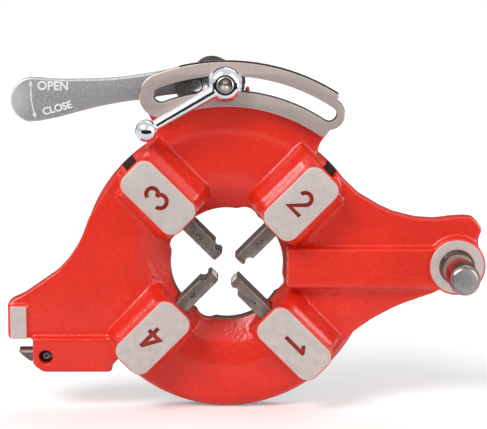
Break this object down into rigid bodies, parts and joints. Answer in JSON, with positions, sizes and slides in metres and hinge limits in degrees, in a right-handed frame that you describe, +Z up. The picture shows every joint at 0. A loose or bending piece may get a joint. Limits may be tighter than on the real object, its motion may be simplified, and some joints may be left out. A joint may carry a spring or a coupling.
{
  "type": "pipe threading die head",
  "caption": "Quick-opening die head of a pipe threading machine: ring casting on a post with radial dies, a spiral cam plate, a throwout lever and a slotted size bar.",
  "frame": {"origin": "on the pipe axis, in the plane of the head's back face", "axes": "-Y towards the numbered front, where the post points; +X towards the post; +Z up, towards the size bar"},
  "size_m": [0.3387, 0.085, 0.2515],
  "materials": {
    "red_enamel": "glossy enamel over rough cast iron, bare machined pads",
    "black_steel": "black oxide",
    "cam_steel": "dark blued steel",
    "bright_steel": "ground steel",
    "die_steel": "surface ground tool steel",
    "bar_steel": "brushed along its length",
    "chrome_plate": "polished",
    "plated_steel": "satin zinc plate",
    "bronze": "machined",
    "post_steel": "turned",
    "spring_steel": "drawn wire"
  },
  "bodies": {
    "head": {"head_casting": "red_enamel", "retaining_ring": "black_steel", "ring_screws": "black_steel", "cam_stop_pins": "bright_steel", "size_bar": "bar_steel", "bar_screws": "black_steel", "index_link": "black_steel", "guide_pin": "bright_steel", "clamp_stud": "bright_steel", "clamp_washer": "bright_steel", "pivot_pin": "bright_steel", "post": "post_steel", "post_pin": "black_steel", "latch_spring": "spring_steel", "latch_pin": "bright_steel"},
    "throwout_lever": {"throwout_lever": "plated_steel", "lever_bush": "bronze", "crank_pin": "bright_steel"},
    "cam": {"cam_plate": "cam_steel"},
    "die_1": {"die_1": "die_steel"},
    "die_2": {"die_2": "die_steel"},
    "die_3": {"die_3": "die_steel"},
    "die_4": {"die_4": "die_steel"},
    "clamp_lever": {"clamp_lever": "chrome_plate"},
    "latch": {"latch_plunger": "die_steel"}
  },
  "joints": [
    {"name": "throwout", "type": "hinge", "parent": "head", "child": "throwout_lever", "pos_m": [-0.0102, -0.0138, 0.1345], "axis": [0, 1, 0], "range_deg": [0, 62]},
    {"name": "cam_turn", "type": "hinge", "parent": "head", "child": "cam", "pos_m": [0, -0.00665, 0], "axis": [0, -1, 0], "range_deg": [0, 7.8]},
    {"name": "die_1_slide", "type": "slide", "parent": "head", "child": "die_1", "axis": [0.7071, 0, -0.7071], "range_m": [0, 0.00352]},
    {"name": "die_2_slide", "type": "slide", "parent": "head", "child": "die_2", "axis": [0.7071, 0, 0.7071], "range_m": [0, 0.00352]},
    {"name": "die_3_slide", "type": "slide", "parent": "head", "child": "die_3", "axis": [-0.7071, 0, 0.7071], "range_m": [0, 0.00352]},
    {"name": "die_4_slide", "type": "slide", "parent": "head", "child": "die_4", "axis": [-0.7071, 0, -0.7071], "range_m": [0, 0.00352]},
    {"name": "clamp_turn", "type": "hinge", "parent": "head", "child": "clamp_lever", "pos_m": [-0.00068, -0.0395, 0.1302], "axis": [0, -1, 0], "range_deg": [0, 330]},
    {"name": "latch_slide", "type": "slide", "parent": "head", "child": "latch", "axis": [1, 0, 0], "range_m": [0, 0.0075], "stiffness_N_per_m": 600, "springref_m": -0.006, "deforming": ["latch_spring"]}
  ],
  "couplings": [
    {"joint": "cam_turn", "follows": "throwout", "ratio": 0.1255},
    {"joint": "die_1_slide", "follows": "throwout", "m_per_rad": 0.0032358},
    {"joint": "die_2_slide", "follows": "throwout", "m_per_rad": 0.0032358},
    {"joint": "die_3_slide", "follows": "throwout", "m_per_rad": 0.0032358},
    {"joint": "die_4_slide", "follows": "throwout", "m_per_rad": 0.0032358}
  ]
}
